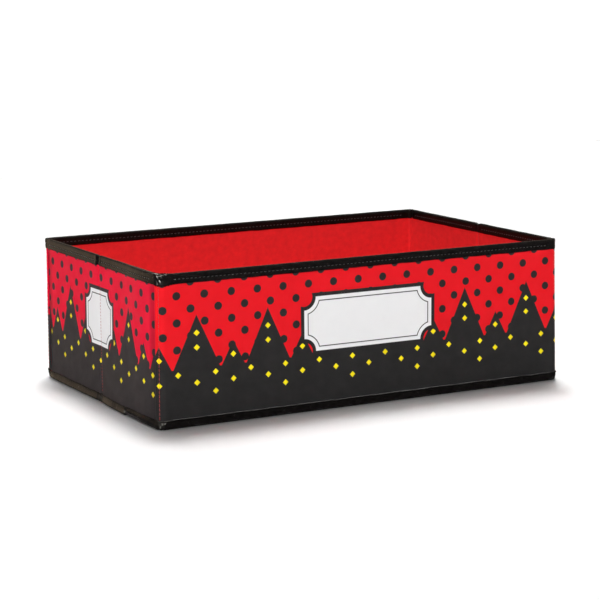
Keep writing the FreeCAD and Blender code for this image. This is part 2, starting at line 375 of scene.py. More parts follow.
def print_material(name, end, turned=False):
    """Laminated print: red with black dots, a black zigzag band with yellow diamonds, and a plain white label.  turned
    is for a long cover whose returns take the end walls' tone, with its painted sheen."""
    g = Graph(name)
    uv, u, v = g.uv_mm()
    # dots on a staggered lattice
    px, pz = (23.8, 11.05) if not end else (21.9, 11.5)
    u1 = -176.7 if not end else -5.0
    d1 = g.hyp(g.cell(u, px, u1), g.cell(v, 2 * pz, 108.4))
    d2 = g.hyp(g.cell(u, px, u1 + px / 2), g.cell(v, 2 * pz, 108.4 + pz))
    dots = g.inside(g.sub(g.m("MINIMUM", d1, d2), 3.4))
    # peaks of two heights
    o = 0.0 if end else 32.0
    tall = g.absv(g.cell(u, 64.0, o))
    low = g.absv(g.cell(u, 64.0, o + 32.0))
    h1 = g.sub(92.0, g.mul(tall, 2.2))
    h2 = g.sub(68.0, g.mul(low, 1.9))
    hill = g.m("MAXIMUM", g.m("MAXIMUM", h1, h2), 48.0)
    hills = g.inside(g.mul(g.sub(v, hill), 0.45))
    # yellow diamonds in the dark part
    def diamond(pitch, at, z, size):
        return g.sub(g.add(g.absv(g.cell(u, pitch, at)), g.absv(g.sub(v, z))), size)
    lit = [diamond(64.0, o, 77.0, 2.6), diamond(64.0, o, 65.0, 2.6), diamond(64.0, o + 32.0, 56.5, 2.6),
           diamond(32.0, 16.0, 43.5, 2.6), diamond(32.0, 0.0, 36.0, 2.6), diamond(64.0, o + 16.0, 27.5, 2.6)]
    dia = lit[0]
    for x in lit[1:]:
        dia = g.m("MINIMUM", dia, x)
    dia = g.inside(dia)
    # plain label: a plaque with hollow corners, a dark border and a fine line inside it
    cz, half_w, half_h, r = (74.0, 62.0, 23.0, 11.0) if not end else (73.0, 28.0, 24.0, 10.0)
    ax, az = g.absv(u), g.absv(g.sub(v, cz))
    plate = g.m("MAXIMUM", g.sub(ax, half_w), g.sub(az, half_h))
    bite = g.hyp(g.sub(ax, half_w), g.sub(az, half_h))
    lab = g.m("MAXIMUM", plate, g.sub(r, bite))
    border = g.inside(g.m("MAXIMUM", g.sub(plate, 3.2), g.sub(r - 3.2, bite)))
    label = g.inside(lab)
    line = g.inside(g.sub(g.absv(g.add(lab, 3.6)), 0.42))
    mott = g.noise(uv, 90.0, 4.0, 0.6)
    fac = g.span(mott, 0.0, 1.0)
    # the end walls' copy of the print has a brighter, bluer red and a lighter black than the long walls': painted sheen
    # for the slanting light the end faces catch
    red_long = g.mix(fac, (0.750, 0.0068, 0.0128, 1), (0.785, 0.0080, 0.0150, 1))
    red_end_painted_sheen = g.mix(fac, (0.790, 0.0018, 0.0320, 1), (0.830, 0.0026, 0.0370, 1))
    dark_long = g.mix(fac, (0.0230, 0.0222, 0.0224, 1), (0.0285, 0.0272, 0.0272, 1))
    dark_end_painted_sheen = g.mix(fac, (0.0385, 0.0335, 0.0365, 1), (0.0460, 0.0400, 0.0430, 1))
    red, dark = (red_end_painted_sheen, dark_end_painted_sheen) if end else (red_long, dark_long)
    # a turned cover's returns take the end walls' tone, with its painted sheen
    if turned:
        past = g.span(g.absv(u), 0.0, 1.0, 187.0, 190.5)
        red, dark = g.mix(past, red, red_end_painted_sheen), g.mix(past, dark, dark_end_painted_sheen)
    white = g.mix(g.span(mott, 0.0, 1.0), (0.920, 0.920, 0.923, 1), (0.938, 0.938, 0.940, 1))
    col = g.mix(dots, red, dark)
    col = g.mix(hills, col, dark)
    col = g.mix(dia, col, YELLOW)
    col = g.mix(border, col, dark)
    col = g.mix(label, col, white)
    col = g.mix(line, col, dark)
    if end:
        # painted shade in the corner grooves: the print is darkened towards the corner seam
        col = g.mix(g.span(g.absv(u), 0.0, 0.30, 106.0, 112.0), col, (0.006, 0.004, 0.004, 1))
    # pressed points of the cloth under the film, and slight unevenness of the film
    k = 2 * math.pi / 1.25
    emb = g.mul(g.m("SINE", g.mul(g.add(u, v), k * 0.7071)), g.m("SINE", g.mul(g.sub(u, v), k * 0.7071)))
    fine = g.noise(uv, 700.0, 2.0, 0.5)
    nrm = g.bump(emb, 0.012, 0.55)
    nrm = g.bump(fine, 0.02, 0.5, nrm)
    nrm = g.bump(g.noise(uv, 38.0, 2.0, 0.5), 0.35, 0.35, nrm)
    rough = g.span(g.noise(uv, 60.0, 3.0, 0.6), 0.42, 0.52)
    g.set(Base_Color=col, Roughness=rough, Normal=nrm)
    g.bsdf.inputs["Specular IOR Level"].default_value = 0.11
    return g.mat


def tape_material(name, rough, level):
    g = Graph(name)
    uv, u, v = g.uv_mm()
    grain = g.noise(uv, 1500.0, 3.0, 0.55)
    long = g.noise(uv, 420.0, 2.0, 0.5, (0.25, 1.6, 1.0))
    crease = g.noise(uv, 150.0, 3.0, 0.6, (1.0, 0.5, 1.0))
    nrm = g.bump(grain, 0.03, 0.5)
    nrm = g.bump(long, 0.06, 0.45, nrm)
    nrm = g.bump(crease, 0.22, 0.4, nrm)
    worn = g.noise(uv, 260.0, 4.0, 0.65)
    col = g.mix(g.span(worn, 0.0, 1.0), (0.0003, 0.0002, 0.0002, 1), (0.0062, 0.0049, 0.0046, 1))
    g.set(Base_Color=col, Roughness=g.span(worn, *rough), Normal=nrm)
    g.bsdf.inputs["Specular IOR Level"].default_value = level
    g.bsdf.inputs["Specular Tint"].default_value = (1.0, 0.88, 0.70, 1)
    return g.mat


def lining_material():
    g = Graph("red_lining_cloth")
    uv, u, v = g.uv_mm()
    k = 2 * math.pi / 1.6
    emb = g.mul(g.m("SINE", g.mul(g.add(u, v), k * 0.7071)), g.m("SINE", g.mul(g.sub(u, v), k * 0.7071)))
    pts = g.m("POWER", g.absv(emb), 3.0)
    fibre = g.noise(uv, 1300.0, 4.0, 0.7)
    cloud = g.noise(uv, 160.0, 3.0, 0.6)
    col = g.mix(g.span(cloud, 0.0, 1.0), (0.62, 0.0085, 0.0120, 1), (0.76, 0.0120, 0.0155, 1))
    col = g.mix(g.mul(g.span(fibre, 0.0, 1.0), 0.22), col, (0.86, 0.035, 0.040, 1))
    col = g.mix(g.mul(pts, 0.22), col, (0.42, 0.004, 0.006, 1))
    nrm = g.bump(fibre, 0.05, 0.5)
    nrm = g.bump(g.mul(pts, -1.0), 0.06, 0.6, nrm)
    nrm = g.bump(g.noise(uv, 55.0, 2.0, 0.5), 0.5, 0.3, nrm)
    g.set(Base_Color=col, Roughness=g.span(fibre, 0.62, 0.82), Normal=nrm)
    g.bsdf.inputs["Specular IOR Level"].default_value = 0.25
    g.bsdf.inputs["Sheen Weight"].default_value = 0.08
    g.bsdf.inputs["Sheen Roughness"].default_value = 0.5
    return g.mat


def thread_material(name, dark, light, rough=0.5):
    g = Graph(name)
    uv, u, v = g.uv_mm()
    k = 2 * math.pi / 0.42
    twist = g.m("SINE", g.mul(g.add(u, g.mul(v, 0.9)), k))
    fuzz = g.noise(uv, 2600.0, 3.0, 0.6)
    # the raised crests of the twist are painted lighter than its grooves: painted highlight
    col = g.mix(g.m("MULTIPLY_ADD", twist, 0.35, 0.5, clamp=True), dark, light)
    nrm = g.bump(twist, 0.05, 0.8)
    nrm = g.bump(fuzz, 0.03, 0.5, nrm)
    g.set(Base_Color=col, Normal=nrm)
    g.bsdf.inputs["Roughness"].default_value = rough
    g.bsdf.inputs["Specular IOR Level"].default_value = 0.5
    g.bsdf.inputs["Sheen Weight"].default_value = 0.2
    return g.mat


def board_material():
    g = Graph("grey_board")
    tc = g.node("ShaderNodeTexCoord")
    fl = g.noise(tc.outputs["Object"], 900.0, 4.0, 0.7)
    ly = g.noise(tc.outputs["Object"], 240.0, 3.0, 0.6)
    col = g.mix(g.span(fl, 0.0, 1.0), (0.28, 0.265, 0.24, 1), (0.40, 0.385, 0.35, 1))
    g.set(Base_Color=col, Normal=g.bump(ly, 0.15, 0.4))
    g.bsdf.inputs["Roughness"].default_value = 0.85
    return g.mat


PRINT_LONG = print_material("laminated_print_long", False)
PRINT_REAR = print_material("laminated_print_rear", False, True)
PRINT_END = print_material("laminated_print_end", True)
TAPE = tape_material("black_vinyl_tape", (0.17, 0.28), 0.36)
TAPE_IN = tape_material("black_vinyl_tape_inside", (0.42, 0.52), 0.14)
LINING = lining_material()
THREAD = thread_material("black_thread", (0.010, 0.010, 0.011, 1), (0.055, 0.053, 0.052, 1))
RED_THREAD = thread_material("red_thread", (0.30, 0.006, 0.008, 1), (0.62, 0.020, 0.022, 1))
BOARD = board_material()

for n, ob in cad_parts.items():
    if n.endswith("board"):
        ob.data.materials.clear()
        ob.data.materials.append(BOARD)

made = []


def done(ob, slot, *nodes):
    if nodes:
        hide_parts(*nodes)
    made.append(ob)
    return ob


# ------------------------------------------------------------------------------------------------------------ covers
ZC = np.concatenate([[1.0, 4.0], np.linspace(6.5, 119.5, 58), [122.0, 125.9]])
HEM, SEAM = 116.98, 4.2                             # end of the long walls' cloth, and the seam's distance from it


def swell(u, z, seed):
    """How far the printed face stands off its flat, all outwards."""
    mid = np.sin(np.pi * np.clip((z - LOW1) / (TOP0 - LOW1), 0, 1))
    return 0.16 * mid + 0.12 * mid * (1 + noise2(u, z, seed, 95.0, 2))


for wall, side in LONG.items():
    path = LongPath(wall, HEM, 4.0, 34)
    n = len(path.kind)
    u0 = path.along()[:, None]
    z = np.broadcast_to(ZC, (n, len(ZC))).copy()
    flat = smooth(XI - np.abs(u0), 6.0, 34.0)
    out = THK + swell(u0, z, 11 + side) * flat
    # the hem in the corner groove rounds over at its edge, and the seam of red stitches pulls it in
    hem = path.hem(z)
    out = out + 0.20 * gauss(hem - 1.2, 0.8) * (1 + 0.35 * noise1(z, 5 + side, 21.0)) - 0.34 * gauss(hem, 0.40)
    held = smooth(z, 6.2, 8.6) * (1 - smooth(z, 114.0, 118.0))
    out = out - 0.26 * gauss(hem - SEAM, 0.45) * held + 0.10 * gauss(hem - SEAM - 1.1, 0.6) * held
    inn = np.minimum(out - 0.32, THK - 0.36)
    P, u = path.place(out, z)
    Q, _ = path.place(inn, z)
    ob = slab(f"{wall}_printed_cover", P, Q, np.stack([u, z], -1), PRINT_LONG if wall == "front" else PRINT_REAR)
    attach(ob, f"{wall}_wall")
    done(ob, "printed_cover", f"{wall}_cover")


def end_bulge(way, y, z):
    """The lower part of the end walls stands out a little, more so on the front half."""
    f = np.where(y < 0, 3.0 if way < 0 else 1.6, 0.5 if way < 0 else 1.0)
    s = np.sin(np.pi * np.clip((np.abs(y) - 3.0) / (YH - 6.0), 0, 1)) ** 0.8
    corner = np.where(y < 0, flare("front", way, THK, z), flare("rear", way, THK, z)) * smooth(np.abs(y), 34.0, 94.0)
    corner = corner * (1 + 0.22 * (1 - smooth(np.abs(y), 90.0, YH)))
    return np.maximum(f * s * (1 - np.clip(z / 118.0, 0, 1)) ** 1.5, corner)


def hollow(y):
    """The dip of the end walls' cloth towards a corner, where no board backs it."""
    return np.clip((np.abs(y) - (YH - 10.0)) / 10.0, 0, 1) ** 1.8


Y_COVER = graded(-YH, YH, [-YH, 0.0, YH], 0.22, 4.0, 2.0)
for end, way in ENDS.items():
    path = EndPath(Y_COVER)
    y0 = path.along()[:, None]
    yy = np.where(path.kind == 1, path.par, 0.0)[:, None]
    n = len(path.kind)
    # the cloth is cut lower at the crease, where the tape is pinched over it
    z = np.broadcast_to(ZC, (n, len(ZC))) - 2.4 * gauss(y0, 3.2) * smooth(ZC, 120.5, 125.9)
    edge = path.edge()[:, None]
    on = (path.kind == 1)[:, None] * (1 - edge)
    half = np.sin(np.pi * np.clip((np.abs(yy) - 3.0) / (YH - 14.0), 0, 1)) * (np.abs(yy) < YH - 11.0)
    yc = np.clip(y0, -YH, YH)
    out = THK + swell(y0, z, 31 + way) * half * on
    sunk = hollow(yc) * smooth(z, 5.0, 13.0) * (1 - smooth(z, 112.0, 119.5))
    out = out - (0.90 + 0.18 * noise1(z, 71 + way, 33.0)) * sunk - 0.44 * edge * (1 - sunk)
    stand = end_bulge(way, yc, z)
    out = out - 0.80 * gauss(yy, 0.60) * on - 0.16 * gauss(np.abs(yy) - 1.9, 0.9) * on * (1 + 0.4 * noise1(z, 3, 17.0))
    out = out - 0.75 * gauss(y0, 2.0) * smooth(z, 116.8, 118.6) - 0.75 * gauss(y0, 1.3) * (1 - smooth(z, 6.4, 8.6))
    inn = out - 0.34
    P, u = path.place(way, out, z, stand)
    Q, _ = path.place(way, inn, z, stand)
    ob = slab(f"{end}_printed_cover", P, Q, np.stack([u, z], -1), PRINT_END)
    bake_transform(ob)
    done(ob, "printed_cover", f"{end}_front_cover", f"{end}_rear_cover", f"{end}_crease_fold")


# ------------------------------------------------------------------------------------------------------------ lining
ZL = np.concatenate([np.linspace(0.9, 117.0, 40), [118.2, 119.4]])
for wall, side in LONG.items():
    path = LongPath(wall, 116.92, 5.0, 20)
    n = len(path.kind)
    u0 = path.along()[:, None]
    z = np.broadcast_to(ZL, (n, len(ZL))).copy()
    flat = smooth(XI - np.abs(u0), 4.0, 30.0)
    inner = -0.34 * flat * (1 + noise2(u0, z, 51 + side, 80.0, 2)) * np.sin(np.pi * np.clip(z / TOP0, 0, 1)) * 0.8
    outer = np.full_like(inner, 0.36)
    P, u = path.place(inner, z)
    Q, _ = path.place(outer, z)
    ob = slab(f"{wall}_lining_cloth", P, Q, np.stack([u, z], -1), LINING)
    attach(ob, f"{wall}_wall")
    done(ob, "lining_cloth", f"{wall}_lining", f"{wall}_left_hinge_fold", f"{wall}_right_hinge_fold")

Y_LINING = graded(-YH + 0.05, YH - 0.05, [-YH, 0.0, YH], 0.4, 5.0, 3.0)
for end, way in ENDS.items():
    path = EndPath(Y_LINING, n_roll=1)
    y0 = path.par[:, None]
    n = len(path.kind)
    z = np.broadcast_to(ZL, (n, len(ZL))).copy()
    half = np.sin(np.pi * np.clip((np.abs(y0) - 2.0) / (YH - 4.0), 0, 1))
    inner = -0.30 * half * (1 + noise2(y0, z, 61 + way, 70.0, 2)) * np.sin(np.pi * np.clip(z / TOP0, 0, 1)) * 0.7
    inner = inner - 0.16 * gauss(np.abs(y0) - 2.6, 1.2) + 0.75 * gauss(y0, 1.0)
    outer = np.full_like(inner, 0.37) + 0.64 * gauss(y0, 1.0)
    P, u = path.place(way, inner, z)
    Q, _ = path.place(way, outer, z)
    ob = slab(f"{end}_lining_cloth", P, Q, np.stack([u, z], -1), LINING)
    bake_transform(ob)
    done(ob, "lining_cloth", f"{end}_front_lining", f"{end}_rear_lining")


# ----------------------------------------------------------------------------------------------------- binding tapes
# Sections of the tapes: offset from the inner face, height.  The first SKIN points are the visible face.
RIM = np.array([
    (2.63, 118.80), (2.66, 118.44), (2.84, 118.28), (3.07, 118.34), (3.22, 118.60), (3.29, 119.10), (3.31, 119.90),
    (3.29, 120.70), (3.22, 121.45), (3.12, 122.10), (3.20, 122.75), (3.30, 123.50), (3.35, 124.40), (3.36, 125.20),
    (3.30, 125.90), (3.06, 126.48), (2.62, 126.82), (2.05, 126.95), (1.30, 126.97), (0.55, 126.92), (0.00, 126.66),
    (-0.44, 126.15), (-0.65, 125.40), (-0.72, 124.40), (-0.70, 123.40), (-0.64, 122.70), (-0.58, 122.10),
    (-0.62, 121.30), (-0.68, 119.90), (-0.62, 118.95), (-0.40, 118.45), (-0.16, 118.50), (-0.04, 118.80),
    (-0.04, 122.00), (-0.02, 126.20), (1.30, 126.28), (2.62, 126.20), (2.62, 122.00),
])
RIM_SKIN = np.arange(len(RIM)) < 32
RIM_BACK = (np.arange(len(RIM)) >= 20) & (np.arange(len(RIM)) < 34)
FOOT = np.array([
    (2.63, 6.80), (2.68, 7.36), (2.92, 7.78), (3.32, 7.86), (3.72, 7.58), (3.90, 7.12), (3.82, 6.66), (3.56, 6.32),
    (3.34, 6.02), (3.28, 5.70), (3.32, 5.20), (3.26, 4.50), (3.12, 3.70), (2.96, 2.90), (2.78, 2.00), (2.60, 1.15),
    (2.46, 0.50), (2.20, 0.12), (1.60, 0.00), (0.80, 0.00), (0.16, 0.08), (0.03, 0.34), (0.06, 0.60), (1.20, 0.68),
    (2.24, 0.74), (2.36, 1.40), (2.60, 4.00),
])
# on the end walls the foot tape leans out at its lower edge
FOOT_LEAN = np.array([
    (2.63, 6.30), (2.68, 6.72), (2.86, 6.98), (3.10, 6.98), (3.28, 6.80), (3.32, 6.50), (3.20, 6.20), (2.98, 5.95),
    (2.84, 5.65), (2.88, 5.30), (3.06, 4.90), (3.32, 4.20), (3.58, 3.30), (3.78, 2.40), (3.92, 1.60), (3.90, 0.95),
    (3.66, 0.42), (3.10, 0.10), (2.00, 0.00), (0.90, 0.00), (0.16, 0.08), (0.03, 0.34), (0.06, 0.60), (1.20, 0.68),
    (2.52, 0.70), (2.62, 1.20), (2.62, 4.00),
])
FOOT_SKIN = np.arange(len(FOOT)) < 18


def girth(profile):
    d = np.hypot(*np.diff(profile, axis=0).T)
    return np.concatenate([[0], np.cumsum(d)])


def facing(profile):
    """Outward direction of each point of a section."""
    d = np.roll(profile, -1, 0) - np.roll(profile, 1, 0)
    n = np.stack([d[:, 1], -d[:, 0]], 1)
    return n / np.linalg.norm(n, axis=1)[:, None]


def folds(d, seed, reach, amp, width=0.45, gap=2.0):
    """Ridges of bunched tape round a corner, by the distance along the tape from it."""
    g = np.random.default_rng(seed)
    h = np.zeros_like(d)
    c = -reach
    while c < reach:
        h = h + amp * (0.5 + 0.7 * g.random()) * math.exp(-((c / (0.8 * reach)) ** 2)) * gauss(d - c, width * (0.8 + 0.6 * g.random()))
        c += gap * (0.75 + 0.5 * g.random())
    return h


def pucker(s, z):
    """Small pull-ins where the needle went through the rim tape."""
    return -0.17 * gauss(z - ROW, 0.95) * (0.5 + 0.5 * np.cos(2 * np.pi * s / PITCH))


def waver(r, z, s, seed, split):
    """Slow waviness of a tape's face, and of its free edge."""
    face = 0.06 * noise1(s, seed, 34.0) + 0.035 * noise1(s + 2.5 * z, seed + 2, 6.5)
    return face, 0.17 * noise1(s, seed + 1, 42.0) * split


def swept(section, lift, shift, skin):
    """Section points pushed out by lift along their facing, and raised by shift."""
    f = facing(section)
    r = section[:, 0] + lift * f[:, 0] * skin
    z = section[:, 1] + lift * f[:, 1] * skin + shift
    return r, z


S_RIM = PITCH / 6
for wall, side in LONG.items():
    path = LongPath(wall, 117.02, S_RIM, 46)
    n = len(path.kind)
    s = path.along(122.0)[:, None]
    run = smooth(XI - np.abs(s), 3.0, 9.0)
    face, edge_z = waver(RIM[:, 0], RIM[:, 1], s, 101 + side, RIM[:, 1] < 120.4)
    lift = pucker(s, RIM[:, 1]) * run + face
    hem = path.hem(np.full((n, 1), 122.0))
    tight = np.zeros((n, 1))
    for way in (-1, 1):
        big = wall == "front" and way < 0
        d = np.where(np.sign(s) == way, hem - (7.0 if big else 5.0), 99.0)
        lean = 0.55 * (RIM[:, 1] - 122.5) + 0.50 * (RIM[:, 0] - 1.3)
        lift = lift + folds(d + lean, 7 + side + 3 * way, 9.5 if big else 6.0, 0.85 if big else 0.18 if wall == "front" else 0.40, 0.60, 2.6)
        if big:
            # bunched tape hangs a little lower
            edge_z = edge_z - 1.1 * gauss(d, 6.5) * (RIM[:, 1] < 120.4)
        elif wall == "front":
            # pulled tight
            tight = 0.6 * gauss(d, 9.0)
    r, z = swept(RIM, lift, edge_z, RIM_SKIN)
    r = np.where(r > 2.66, r - tight * np.clip(r - 2.78, 0, None), r)
    # the inner leg thins out at the fold line, and the outer leg laps over the end wall's tape
    pinch = gauss(np.clip(hem, 0, None), 1.7)
    r = np.where(r < 0, r * (1 - 0.96 * pinch), r)
    r = np.where(r > 2.66, r - np.clip(r - 2.82, 0, None) * (1 - smooth(hem, 0.0, 5.0)), r)
    P, u = path.place(r, z)
    ob = tube(f"{wall}_rim_tape", P, np.stack([s + 0 * r, np.broadcast_to(girth(RIM), r.shape)], -1), TAPE, back=(TAPE_IN, RIM_BACK))
    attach(ob, f"{wall}_wall")
    done(ob, "binding_tape", f"{wall}_top_binding")

    path = LongPath(wall, 117.02, 0.8, 60)
    n = len(path.kind)
    s = path.along(4.0)[:, None]
    face, edge_z = waver(FOOT[:, 0], FOOT[:, 1], s, 140 + side, FOOT[:, 1] > 5.9)
    lift = 1.2 * face
    hem = path.hem(np.full((n, 1), 4.0))
    for way in (-1, 1):
        d = np.where(np.sign(s) == way, hem - 4.6, 99.0)
        fine = wall == "front" and way < 0
        lift = lift + folds(d + 0.45 * (FOOT[:, 1] - 3.5), 17 + side + 3 * way, 7.5, 0.70 if wall == "front" else 0.40, 0.55, 2.3)
        if fine:
            lift = lift + folds(d - 0.7 * (FOOT[:, 1] - 3.5), 29, 7.0, 0.42, 0.38, 1.7)
    if wall == "front":
        # a small pucker in the tape
        lift = lift + 0.36 * gauss(s - 69.0 + 0.35 * (FOOT[:, 1] - 4.0), 0.9) * gauss(FOOT[:, 1] - 4.6, 1.5)
    r, z = swept(FOOT, lift, edge_z, FOOT_SKIN)
    z = np.maximum(z, 0.0)
    if wall == "front":
        # the bunched corner at the left stands out at its lower edge
        r = r + np.where(r > 2.0, 0.22 * gauss(np.where(s < 0, hem - 5.5, 99.0), 6.0) * np.clip(6.4 - z, 0, None), 0.0)
    r = np.where(r > 2.66, r - np.clip(r - 2.84, 0, None) * (1 - smooth(hem, 0.0, 4.0)), r)
    P, u = path.place(r, z)
    ob = tube(f"{wall}_foot_tape", P, np.stack([s + 0 * r, np.broadcast_to(girth(FOOT), r.shape)], -1), TAPE)
    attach(ob, f"{wall}_wall")
    done(ob, "binding_tape", f"{wall}_bottom_binding")

Y_RIM = graded(-YH, YH, [-YH, 0.0, YH], 0.18, S_RIM, 2.5)
Y_FOOT = graded(-YH, YH, [-YH, -57.0, -34.0, 0.0, YH], 0.22, 1.6, 2.5)
LAP = 57.0                                          # where the left foot tape laps over its own end
for end, way in ENDS.items():
    path = EndPath(Y_RIM)
    s = path.along()[:, None]
    yy = np.where(path.kind == 1, path.par, 1e3)[:, None]
    edge = path.edge()[:, None]
    sink = np.clip((np.abs(s) - (YH - 14.0)) / 14.0, 0, 1) ** 1.7
    run = smooth(YH - np.abs(s), 5.0, 10.0) * smooth(np.abs(s), 4.0, 8.0)
    face, edge_z = waver(RIM[:, 0], RIM[:, 1], s, 201 + way, RIM[:, 1] < 120.4)
    lift = pucker(s, RIM[:, 1]) * run + face
    for side in (-1, 1):
        lean = 0.22 * (RIM[:, 1] - 122.5)
        lift = lift + folds(np.abs(s) * np.where(np.sign(s) == side, 1, -9) - YH + lean, 60 + way + 3 * side, 8.0, 0.26)
    lift = lift * (1 - edge)
    r, z = swept(RIM, lift, edge_z * (1 - edge), RIM_SKIN)
    # the face leans in towards the top
    r = r + np.where(r > 2.55, 0.085 * (122.6 - np.minimum(z, 125.5)) * smooth(r, 2.62, 3.0) * (1 - edge), 0.0)
    # down to the lap of the long walls' tape
    r = np.where(r > 2.5, r - sink * np.clip(r - 2.74, 0, None), r)
    r = np.where(r < 0.06, r + edge * (0.06 - r), r)
    z = z - np.where(z > 126.3, edge * 0.34, 0.0)
    # pinched at the crease
    notch, beside = gauss(yy, 2.2), gauss(np.abs(yy) - 4.4, 1.5)
    r = np.where(r > 2.665, r - (1.0 + 0.35 * smooth(r, 2.66, 3.0)) * notch + 0.20 * beside, np.where(r > 2.5, r - notch, r))
    r = np.where(r < -0.1, r + 0.80 * gauss(yy, 1.3), r)
    z = z - np.where(z > 126.0, 0.8 * notch, 0.0) + np.where((z < 119.3) & (r > 1.0), 0.4 * notch, 0.0)
    stand = end_bulge(way, np.clip(s, -YH, YH), np.clip(z, 0, None)) * np.clip(r / THK, 0, 1)
    P, u = path.place(way, r, z, stand)
    ob = tube(f"{end}_rim_tape", P, np.stack([s + 0 * r, np.broadcast_to(girth(RIM), r.shape)], -1), TAPE, back=(TAPE_IN, RIM_BACK))
    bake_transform(ob)
    done(ob, "binding_tape", f"{end}_front_top_binding", f"{end}_rear_top_binding")

    path = EndPath(Y_FOOT)
    s = path.along()[:, None]
    yy = np.where(path.kind == 1, path.par, 1e3)[:, None]
    edge = path.edge()[:, None]
    sink = np.clip((np.abs(s) - (YH - 9.0)) / 9.0, 0, 1) ** 1.7
    upright = smooth(-s, LAP - 0.5, LAP + 1.5) if way < 0 else smooth(np.abs(s), 96.0, 108.0)
    r0 = FOOT_LEAN[:, 0] + upright * (FOOT[:, 0] - FOOT_LEAN[:, 0])
    z0 = FOOT_LEAN[:, 1] + upright * (FOOT[:, 1] - FOOT_LEAN[:, 1])
    f0 = facing(FOOT_LEAN)
    face, edge_z = waver(FOOT[:, 0], FOOT[:, 1], s, 240 + way, FOOT[:, 1] > 5.5)
    lift = 1.2 * face
    for side in (-1, 1):
        lift = lift + folds(np.abs(s) * np.where(np.sign(s) == side, 1, -9) - YH + 0.2 * (z0 - 3.5), 70 + way + 3 * side, 7.0, 0.26)
    if way < 0:
        # the tape's own end laps over itself with a slight twist, and the slack beside it ripples
        lift = lift + 0.34 * smooth(-s, LAP - 0.3, LAP + 0.4) * (1 - smooth(-s, LAP + 16.0, LAP + 40.0))
        lift = lift + 0.50 * gauss(s + LAP + 2.2 - 0.55 * (z0 - 3.0), 1.1) - 0.30 * gauss(s + LAP - 1.2 - 0.4 * (z0 - 3.0), 0.9)
        for c, a in ((-31.0, 0.26), (-34.5, 0.34), (-38.0, 0.22)):
            lift = lift + a * gauss(s - c - 0.25 * (z0 - 3.0), 0.8)
    r = r0 + lift * f0[:, 0] * FOOT_SKIN * (1 - edge)
    z = z0 + lift * f0[:, 1] * FOOT_SKIN * (1 - edge) + edge_z * (1 - edge)
    z = np.maximum(z, 0.0)
    r = np.where(r > 2.5, r - sink * np.clip(r - 2.76, 0, None), r)
    # pinched at the crease, with a fold on either side
    notch = gauss(yy, 1.1)
    r = np.where(r > 2.7, r - 1.45 * notch + 0.60 * gauss(yy + 2.6, 1.0) + 0.30 * gauss(yy - 2.8, 1.0), r)
    r = r - np.where(r > 2.7, 0.60 * gauss(yy - 6.0, 0.9) - 0.25 * gauss(yy - 8.4, 1.1), 0.0)
    stand = end_bulge(way, np.clip(s, -YH, YH), np.clip(z, 0, None)) * np.clip(r / THK, 0, 1)
    P, u = path.place(way, r, z, stand)
    ob = tube(f"{end}_foot_tape", P, np.stack([s + 0 * r, np.broadcast_to(girth(FOOT), r.shape)], -1), TAPE)
    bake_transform(ob)
    done(ob, "binding_tape", f"{end}_front_bottom_binding", f"{end}_rear_bottom_binding")


# ----------------------------------------------------------------------------------------------------------- stitches
def stitches(name, at, along, out, length, width, height, material, seed, slant=0.0):
    """A row of stitches: each a bead of thread that dives into the cloth at both ends."""
    at, along, out = (np.asarray(a, float) for a in (at, along, out))
    g = np.random.default_rng(seed)
    nl, nc = 9, 8
    t = np.linspace(-1, 1, nl)
    c = np.linspace(0, 2 * np.pi, nc, endpoint=False)
    body = np.sqrt(np.clip(1 - np.abs(t) ** 3.0, 0, 1))
    verts, faces, uv = [], [], []
    for i in range(len(at)):
        a, o = along[i], out[i]
        b = np.cross(o, a)
        ang = slant + 0.10 * (g.random() - 0.5)
        a, b = a * np.cos(ang) + b * np.sin(ang), b * np.cos(ang) - a * np.sin(ang)
        L = length * (0.95 + 0.1 * g.random()) / 2
        p0 = at[i] + b * 0.05 * (g.random() - 0.5)
        base = len(verts)
        for k in range(nl):
            w = max(body[k], 0.10)
            lift = height * (0.50 * body[k] - 0.22)
            for q in range(nc):
                verts.append(p0 + a * (t[k] * L) + b * (np.cos(c[q]) * width / 2 * w) + o * (lift + np.sin(c[q]) * height / 2 * w))
                uv.append((i * length + t[k] * L, q * width * 3.14 / nc))
        for k in range(nl - 1):
            for q in range(nc):
                q2 = (q + 1) % nc
                faces.append([base + k * nc + q, base + k * nc + q2, base + (k + 1) * nc + q2, base + (k + 1) * nc + q])
        faces.append([base + q for q in range(nc)])
        faces.append([base + (nl - 1) * nc + q for q in range(nc)][::-1])
    return make(name, np.array(verts), faces, np.array(uv), material, 60)


for wall, side in LONG.items():
    k = np.arange(-int(184 / PITCH), int(179 / PITCH) + 1)
    x = (k + 0.5) * PITCH
    at, along, out = [], [], []
    for xx in x:
        at.append((xx, side * (YI + 3.14), ROW + 0.22 * math.sin(0.021 * xx))); along.append((1, 0, 0)); out.append((0, side, 0))
    for xx in x:
        at.append((xx, side * (YI - 0.60), ROW + 0.22 * math.sin(0.021 * xx))); along.append((1, 0, 0)); out.append((0, -side, 0))
    ob = stitches(f"{wall}_rim_stitches", at, along, out, 2.15, 0.55, 0.40, THREAD, 300 + side, 0.06)
    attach(ob, f"{wall}_wall")
    done(ob, "thread", f"{wall}_top_thread")

for end, way in ENDS.items():
    for wall, side in LONG.items():
        at, along, out = [], [], []
        for kk in range(2, int((YH - 4) / PITCH)):
            y = side * (kk + 0.5) * PITCH
            out_by = float(end_bulge(way, np.array(y), np.array(ROW)))
            at.append((way * (XI + 3.18 + out_by), y, ROW)); along.append((0, 1, 0)); out.append((way, 0, 0))
            at.append((way * (XI - 0.60), y, ROW)); along.append((0, 1, 0)); out.append((-way, 0, 0))
        ob = stitches(f"{end}_{wall}_rim_stitches", at, along, out, 2.15, 0.55, 0.38, THREAD, 310 + side + 2 * way, 0.06)
        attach(ob, f"{end}_{wall}_panel")
        done(ob, "thread", f"{end}_{wall}_top_thread")

